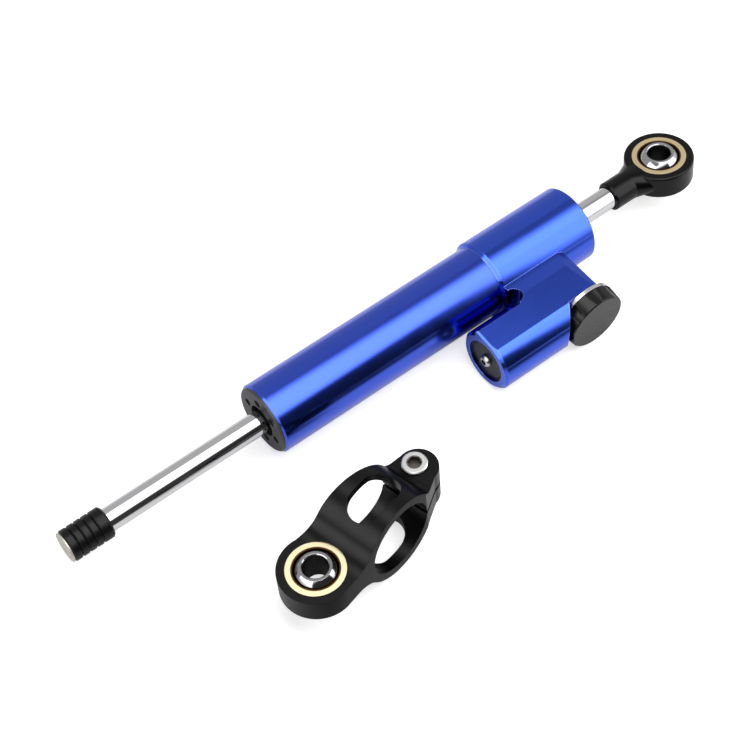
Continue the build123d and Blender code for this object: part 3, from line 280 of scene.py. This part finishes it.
# The flag is black, but bright past its right end and above its top, where the
# glow fades towards the table.
glow_card("front_flag",
          [(LONG_LEFT_X, FRONT_Y, table_z), (LONG_RIGHT_X, FRONT_Y, table_z),
           (LONG_RIGHT_X, FRONT_Y, CEILING_Z), (LONG_LEFT_X, FRONT_Y, CEILING_Z)],
          dark=0.04, bright=2.8,
          steps=[("MULTIPLY", ALONG_X, 0.13, 0.19), ("MAXIMUM", UPWARD, 0.34, 0.60),
                 ("MULTIPLY", UPWARD, -0.10, 0.25)])
# The diffuser at the left fades towards all four of its edges.
glow_card("left_diffuser",
          [(SIDE_X, SIDE_FRONT_Y, SIDE_FOOT_Z), (SIDE_X, SIDE_BACK_Y, SIDE_FOOT_Z),
           (SIDE_X, SIDE_BACK_Y, SIDE_TOP_Z), (SIDE_X, SIDE_FRONT_Y, SIDE_TOP_Z)],
          dark=1.0, bright=3.0,
          steps=[("MULTIPLY", UPWARD, 0.05, 0.20), ("MULTIPLY", UPWARD, 0.70, 0.55),
                 ("MULTIPLY", ALONG_Y, -0.60, -0.40), ("MULTIPLY", ALONG_Y, 0.50, 0.30)])
# The card behind leans back a little and is evenly grey.
glow_card("back_card",
          [(LONG_LEFT_X, BACK_FOOT_Y, table_z), (LONG_RIGHT_X, BACK_FOOT_Y, table_z),
           (LONG_RIGHT_X, BACK_TOP_Y, CEILING_Z), (LONG_LEFT_X, BACK_TOP_Y, CEILING_Z)],
          dark=0.50, bright=0.50, steps=[])

# %% [markdown]
# ## What makes a metal surface
# All the finishes below share one recipe. The Principled shader is set to the
# colour and smoothness of the finish. Then fine patterns are laid over it: the
# lines that a lathe leaves or the grain of blasting, and a little unevenness in
# the shine, like handling marks. A Bevel node rounds the sharp CAD edges by a
# fraction of a millimetre, because no real edge is perfectly sharp and a rounded
# one catches the light as a thin bright line.
# Real lathe lines are about 0.1 mm apart and blasting grit is as fine. That is
# too fine to show at this distance, so both are drawn 0.25 to 0.5 mm wide.

# %% Uneven shine
NOISE_LOW, NOISE_HIGH = 0.3, 0.7  # nearly all of a noise lies between these
SMOOTHEST = 0.02


def uneven_shine(tree, where, roughness, uneven, uneven_mm):
    """Roughness that wanders about its mean in patches of uneven_mm."""
    marks = add_node(tree, "ShaderNodeTexNoise", {
        "Vector": where, "Scale": 1000 / uneven_mm, "Detail": 4.0, "Roughness": 0.6})
    shine = add_node(tree, "ShaderNodeMapRange", {
        "Value": marks.outputs[0], "From Min": NOISE_LOW, "From Max": NOISE_HIGH,
        "To Min": max(roughness - uneven, SMOOTHEST), "To Max": roughness + uneven})
    return shine.outputs[0]


# %% A painted shade near the axis
CORE_BLEND_MM = 0.05


def add_painted_shade_core(tree, shader, place, shine, colour, core_mm, painted_shade_colour, core_roughness):
    """Painted shade: shows a darker colour and roughness within core_mm of the X axis of place."""
    across = add_node(tree, "ShaderNodeVectorMath", {0: place, 1: (0, 1, 1)},
                      operation="MULTIPLY")
    radius = add_node(tree, "ShaderNodeVectorMath", {0: across.outputs[0]}, operation="LENGTH")
    outside = add_node(tree, "ShaderNodeMapRange", {
        "Value": radius.outputs["Value"], "From Min": (core_mm - CORE_BLEND_MM) / 1000,
        "From Max": (core_mm + CORE_BLEND_MM) / 1000})
    paint = add_node(tree, "ShaderNodeMix", {
        "Factor": outside.outputs[0], "A": linear(painted_shade_colour), "B": linear(colour)},
        data_type="RGBA")
    tree.links.new(paint.outputs["Result"], shader.inputs["Base Color"])
    rough = add_node(tree, "ShaderNodeMix", {
        "Factor": outside.outputs[0], "A": core_roughness, "B": shine})
    tree.links.new(rough.outputs[0], shader.inputs["Roughness"])


# %% Soft edges, tool lines and grit
# A little distortion keeps the lines from looking ruled.
WAVE_REPEATS = 20  # a wave texture of scale 1 repeats this often in 2 pi units
BEVEL_SAMPLES = 4


def worked_normal(tree, where, place, edge_mm, tool, line_mm, depth_mm, grit_mm, grit_depth_mm):
    """Surface direction with rounded edges, tool lines and grit."""
    normal = add_node(tree, "ShaderNodeBevel", {"Radius": edge_mm / 1000},
                      samples=BEVEL_SAMPLES).outputs[0]
    if tool:
        scale = 2 * math.pi / (WAVE_REPEATS * line_mm / 1000)
        lines = add_node(tree, "ShaderNodeTexWave", {
            "Vector": place, "Scale": scale, "Distortion": 1.5, "Detail": 2.0,
            "Detail Scale": 3.0}, wave_type="RINGS" if tool == "rings" else "BANDS",
            bands_direction="X", rings_direction="X")
        normal = add_node(tree, "ShaderNodeBump", {
            "Strength": 1.0, "Distance": depth_mm / 1000, "Height": lines.outputs["Fac"],
            "Normal": normal}).outputs[0]
    if grit_mm:
        grit = add_node(tree, "ShaderNodeTexNoise", {
            "Vector": where, "Scale": 1000 / grit_mm, "Detail": 2.0})
        normal = add_node(tree, "ShaderNodeBump", {
            "Strength": 1.0, "Distance": grit_depth_mm / 1000, "Height": grit.outputs[0],
            "Normal": normal}).outputs[0]
    return normal


# %% Pale edges, partly a painted highlight
# The dye of an anodised skin is thin on an edge, and the paler edge also stands in for the thin
# bright line that light draws along a rim: a painted highlight. A Bevel node turns the surface
# direction near edges, so where it differs from the true one an edge is near.
PALE_REACH = 2.5  # times the edge's own radius
PALE_FROM, PALE_TO = 0.97, 0.75  # how well the two directions agree
PALE_SHARE = 0.8


def add_pale_and_highlit_edges(tree, shader, colour, pale_edge_and_highlight_colour, edge_mm):
    """Mixes the pale edge colour in where an edge is near: thin dye and a painted highlight."""
    round_edge = add_node(tree, "ShaderNodeBevel", {"Radius": PALE_REACH * edge_mm / 1000},
                          samples=BEVEL_SAMPLES)
    flat = add_node(tree, "ShaderNodeNewGeometry")
    agree = add_node(tree, "ShaderNodeVectorMath", {
        0: round_edge.outputs[0], 1: flat.outputs["Normal"]}, operation="DOT_PRODUCT")
    pale_and_highlit = add_node(tree, "ShaderNodeMapRange", {
        "Value": agree.outputs["Value"], "From Min": PALE_FROM, "From Max": PALE_TO,
        "To Min": 0.0, "To Max": PALE_SHARE})
    tint = add_node(tree, "ShaderNodeMix", {
        "Factor": pale_and_highlit.outputs[0], "A": linear(colour), "B": linear(pale_edge_and_highlight_colour)},
        data_type="RGBA")
    tree.links.new(tint.outputs["Result"], shader.inputs["Base Color"])


# %% The shared recipe
def finish(name, colour, metallic, roughness, tool=None, line_mm=0.3, depth_mm=0.002,
           centre_mm=(0, 0, 0), turn=(0, 0, 0), uneven=0.03, uneven_mm=8.0, grit_mm=0.0,
           grit_depth_mm=0.004, edge_mm=0.12, pale_edge_and_highlight_colour=None, core_mm=None,
           painted_shade_colour=None, core_roughness=0.4, **sockets):
    """Principled material with patterns sized in millimetres.

    The centre and turn bring the piece's own axis onto X. The tool leaves
    "rings" round that axis on a turned face, and "lines" that follow each other
    along it on a turned wall.
    """
    material = bpy.data.materials.new(name)
    material.use_nodes = True
    tree = material.node_tree
    shader = tree.nodes["Principled BSDF"]
    shader.inputs["Base Color"].default_value = linear(colour)
    shader.inputs["Metallic"].default_value = metallic
    for socket, value in sockets.items():
        shader.inputs[socket.replace("_", " ")].default_value = value
    where = add_node(tree, "ShaderNodeTexCoord").outputs["Object"]
    place = add_node(tree, "ShaderNodeMapping", {
        "Vector": where, "Location": [-v / 1000 for v in centre_mm]},
        vector_type="POINT").outputs[0]
    place = add_node(tree, "ShaderNodeMapping", {"Vector": place, "Rotation": turn}).outputs[0]
    shine = uneven_shine(tree, where, roughness, uneven, uneven_mm)
    tree.links.new(shine, shader.inputs["Roughness"])
    # The core is a painted shade in a bore, a lip or a socket.
    if core_mm:
        add_painted_shade_core(tree, shader, place, shine, colour, core_mm, painted_shade_colour, core_roughness)
    normal = worked_normal(tree, where, place, edge_mm, tool, line_mm, depth_mm, grit_mm,
                           grit_depth_mm)
    tree.links.new(normal, shader.inputs["Normal"])
    if pale_edge_and_highlight_colour:
        add_pale_and_highlit_edges(tree, shader, colour, pale_edge_and_highlight_colour, edge_mm)
    return material


def dress(material, *names):
    """Gives CAD nodes their finish."""
    for name in names:
        slots = nodes[name].data.materials
        slots.clear()
        slots.append(material)
    print(material.name, "on", ", ".join(names))


# %% [markdown]
# ## Blue anodised aluminium
# Tube and valve head are aluminium, turned and polished to a mirror, then
# anodised. The dye sits in a clear oxide skin, so the metal's own reflection
# comes back blue, while the skin's own surface adds a faint white gloss. That is
# a metal with a blue colour under a thin coat, smooth but a little soft, because
# the skin scatters light slightly.

# %% Blue tube and head
# The tube keeps the lathe's lines, which draw its highlight out a little.
# Its pale edges are thin dye and a painted highlight.
blue_tube = finish("blue_anodised_aluminium_tube", "#3A5BE0", 1.0, 0.17, tool="lines",
                   line_mm=0.5, depth_mm=0.0004, uneven=0.02, edge_mm=0.15,
                   pale_edge_and_highlight_colour="#7F95E8", Coat_Weight=0.5, Coat_Roughness=0.12)
dress(blue_tube, "barrel_tube")
# The head is set a little smoother, to match the sharper edges of its bands.
# Its pale edges are thin dye and a painted highlight.
blue_head = finish("blue_anodised_aluminium_head", "#3A5FE4", 1.0, 0.14, uneven=0.02,
                   edge_mm=0.25, pale_edge_and_highlight_colour="#8A9DEB", Coat_Weight=0.35, Coat_Roughness=0.1)
dress(blue_head, "head_block")

# %% [markdown]
# ## Black anodised aluminium
# Gland, rod eye, plug, bracket and knob are aluminium, turned, blasted or tumbled
# so that they are satin, then anodised black. The dye absorbs what goes into the
# oxide skin, so the eye sees a dark body under a faint clear gloss: no metal
# colour is left. The gland is dark grey in the photograph, so its black is pale.

# %% Black parts
HOUSING_AXIS_MM = (0, -25.2, -2.8)
KNOB_AXIS_MM = (-61.4, 0, -2.8)
KNOB_TURN = (0, 0, math.radians(90))
KNOB_BLACK = "#0B0B0C"

black_gland = finish("black_anodised_gland", "#363638", 0.0, 0.38, tool="rings", line_mm=0.35,
                     depth_mm=0.003, IOR=1.5, edge_mm=0.15)
dress(black_gland, "front_gland")
black_eye = finish("black_anodised_rod_eye", "#050506", 0.0, 0.22, grit_mm=0.35,
                   grit_depth_mm=0.004, Specular_IOR_Level=0.22, edge_mm=0.2)
dress(black_eye, "rod_eye")
black_plug = finish("black_anodised_plug", "#0E0E0F", 0.0, 0.34, tool="rings", line_mm=0.35,
                    depth_mm=0.002, centre_mm=HOUSING_AXIS_MM, IOR=1.45)
dress(black_plug, "reservoir_plug")
black_clamp = finish("black_anodised_bracket", "#050505", 0.0, 0.30, grit_mm=0.3,
                     grit_depth_mm=0.005, Specular_IOR_Level=0.22, edge_mm=0.25)
dress(black_clamp, "clamp_body")
black_knob = finish("black_anodised_knob", KNOB_BLACK, 0.0, 0.26, tool="rings", line_mm=0.4,
                    depth_mm=0.004, centre_mm=KNOB_AXIS_MM, turn=KNOB_TURN, edge_mm=0.2,
                    Specular_IOR_Level=0.35)
dress(black_knob, "adjuster_knob")

# %% [markdown]
# ## The knob's face
# In the photograph the knob's outer face is greyer than its rim. Coarser tool
# lines could do that by scattering more light, but the cause is a guess, and it
# is drawn as a second colour. The face's direction picks it out: the shader
# compares the surface's direction with the knob's axis and mixes two colours.

# %% Greyer face on the knob
FACE_GREY = "#2A282A"
OUTWARD = (0, -1, 0)
FACE_FROM, FACE_TO = 0.85, 0.97  # how well the surface agrees with outward

tree = black_knob.node_tree
shader = tree.nodes["Principled BSDF"]
outward = add_node(tree, "ShaderNodeVectorMath", {
    0: add_node(tree, "ShaderNodeTexCoord").outputs["Normal"], 1: OUTWARD},
    operation="DOT_PRODUCT")
face = add_node(tree, "ShaderNodeMapRange", {
    "Value": outward.outputs["Value"], "From Min": FACE_FROM, "From Max": FACE_TO})
paint = add_node(tree, "ShaderNodeMix", {
    "Factor": face.outputs[0], "A": linear(KNOB_BLACK), "B": linear(FACE_GREY)},
    data_type="RGBA")
tree.links.new(paint.outputs["Result"], shader.inputs["Base Color"])
print("face of", black_knob.name, "in", FACE_GREY)

# %% [markdown]
# ## Chrome and brass
# The rod is ground and hard chromed, which gives a bright mirror with crisp
# bands. The balls are polished and chromed. The races are turned from pale
# brass, and their fine rings spread the light to an even, warm sheen.
# In the photograph a ball's bore is dark, and so is a race inside its lip, where shade falls. An
# unpolished bore and shade would explain it, but that is a guess. Both lie close to the piece's own
# axis, so the recipe's core draws them near that axis in listed darker colours: a painted shade.

# %% Chromed rod and click ball
rod_chrome = finish("hard_chrome_rod", "#E4E4E6", 1.0, 0.07, tool="lines", line_mm=0.25,
                    depth_mm=0.0002, uneven=0.02, uneven_mm=5.0, edge_mm=0.1)
dress(rod_chrome, "piston_rod")
plain_ball = finish("chromed_click_ball", "#DCDCDE", 1.0, 0.08)
dress(plain_ball, "click_ball")

# %% The two spherical bearings
# The eye is turned about the rod, and the bracket lies a little aslant, so each bearing's axis
# takes two turns to reach X. The bracket's brass is painted paler than the eye's: a painted sheen
# for the brighter light it catches.
EYE_CENTRE_MM, EYE_TURN = (0, 0, 0), (math.radians(8.3), math.radians(90), 0)
CLAMP_EYE_MM, CLAMP_TURN = (-194.4, -56.6, 2.48), (math.radians(4.4), math.radians(90.96), 0)
BALL_BORE_MM = 4.15
RACE_LIP_MM = 7.7

for piece, centre, turn, brass in (("rod_eye", EYE_CENTRE_MM, EYE_TURN, "#F2DCAE"),
                                   ("clamp", CLAMP_EYE_MM, CLAMP_TURN, "#FBF0C4")):
    # The dark core of the ball's bore is painted shade.
    ball = finish("chromed_ball_of_" + piece, "#B6B6BA", 1.0, 0.10, uneven=0.02, uneven_mm=4.0,
                  edge_mm=0.15, centre_mm=centre, turn=turn, core_mm=BALL_BORE_MM,
                  painted_shade_colour="#2C2A2A", core_roughness=0.45)
    dress(ball, piece + "_ball")
    # The dark core inside the race's lip is painted shade.
    race = finish("turned_brass_race_of_" + piece, brass, 1.0, 0.40, tool="rings", line_mm=0.3,
                  depth_mm=0.003, edge_mm=0.2, centre_mm=centre, turn=turn,
                  core_mm=RACE_LIP_MM, painted_shade_colour="#5A3E22")
    dress(race, piece + "_race")

# %% [markdown]
# ## Screws and other metals
# The pinch screw is zinc plated, which is pale and satin. The fill screw is stainless, darker and
# smoother. Their sockets look darker than their heads, where shade falls in the recess, so they get
# a dark core too: a painted shade.

# %% Screws
CLAMP_SCREW_MM = (-148.93, -46.88, 8.92)
PINCH_SOCKET_MM = 2.5
FILL_SOCKET_MM = 1.1

# Its socket's dark core is painted shade.
pinch_steel = finish("zinc_plated_pinch_screw", "#F0F0EF", 1.0, 0.30, grit_mm=0.3,
                     grit_depth_mm=0.002, edge_mm=0.2, centre_mm=CLAMP_SCREW_MM,
                     turn=CLAMP_TURN, core_mm=PINCH_SOCKET_MM, painted_shade_colour="#77726C",
                     core_roughness=0.35)
dress(pinch_steel, "clamp_screw")
# Its socket's dark core is painted shade.
fill_steel = finish("stainless_fill_screw", "#C9C8C6", 1.0, 0.24, edge_mm=0.12,
                    centre_mm=HOUSING_AXIS_MM, core_mm=FILL_SOCKET_MM, painted_shade_colour="#1C1B1B",
                    core_roughness=0.4)
dress(fill_steel, "fill_screw")

# %% Other metals
# Ground steel: smooth and cool, with a fine grain.
screw_steel = finish("ground_stainless_steel", "#DADADB", 1.0, 0.22, grit_mm=0.3,
                     grit_depth_mm=0.002, edge_mm=0.15)
dress(screw_steel, "needle_valve", "valve_gland", "click_spring")
# Turned bright aluminium: a white ring between the blue and the black.
dial_metal = finish("turned_bright_aluminium_dial", "#F2F2F2", 1.0, 0.24, tool="rings",
                    line_mm=0.3, depth_mm=0.002, centre_mm=KNOB_AXIS_MM, turn=KNOB_TURN)
dress(dial_metal, "dial_ring")
# Plain turned aluminium, inside: soft grey, with rings.
plain_metal = finish("turned_aluminium", "#B9B9BA", 1.0, 0.36, tool="rings", line_mm=0.3,
                     depth_mm=0.004)
dress(plain_metal, "inner_liner", "piston", "floating_piston")
# Blasted aluminium: no lines, and a pale, even sheen.
blasted_disc = finish("blasted_aluminium_disc", "#CFCBC3", 1.0, 0.55, grit_mm=0.3,
                      grit_depth_mm=0.01)
dress(blasted_disc, "buffer_end_disc")
# Hardened spring steel, black from oil.
spring_steel = finish("oiled_spring_steel", "#4A4A4C", 1.0, 0.34, grit_mm=0.25)
dress(spring_steel, "plug_circlip", "piston_clips", "knob_set_screw")
# Porous bearing bronze: brown and dull.
bronze = finish("bearing_bronze", "#B88A4E", 1.0, 0.38, grit_mm=0.3)
dress(bronze, "rear_bush", "front_bush")

# %% [markdown]
# ## Rubber and slide ring
# Seals, O-rings and the end buffer are black rubber: soft, slightly glossy from
# the mould, with a fine grain. The piston's slide ring is brown filled PTFE,
# which is waxy and dull.

# %% Rubber and plastic
rubber = finish("black_moulded_rubber", "#060607", 0.0, 0.34, grit_mm=0.3,
                grit_depth_mm=0.006, uneven=0.05, uneven_mm=4.0, Specular_IOR_Level=0.25,
                edge_mm=0.2)
dress(rubber, "rod_buffer", "rear_rod_seal", "rear_wiper", "front_wiper", "front_rod_seal",
      "front_gland_oring", "plug_oring", "spindle_oring", "float_oring")
slide_ring = finish("filled_ptfe", "#4A3F36", 0.0, 0.55, grit_mm=0.3, IOR=1.38)
dress(slide_ring, "piston_ring")

# %% [markdown]
# ## Finish
# The last line sets the colour view to Standard.

# %% Finish
bpy.context.scene.view_settings.view_transform = "Standard"
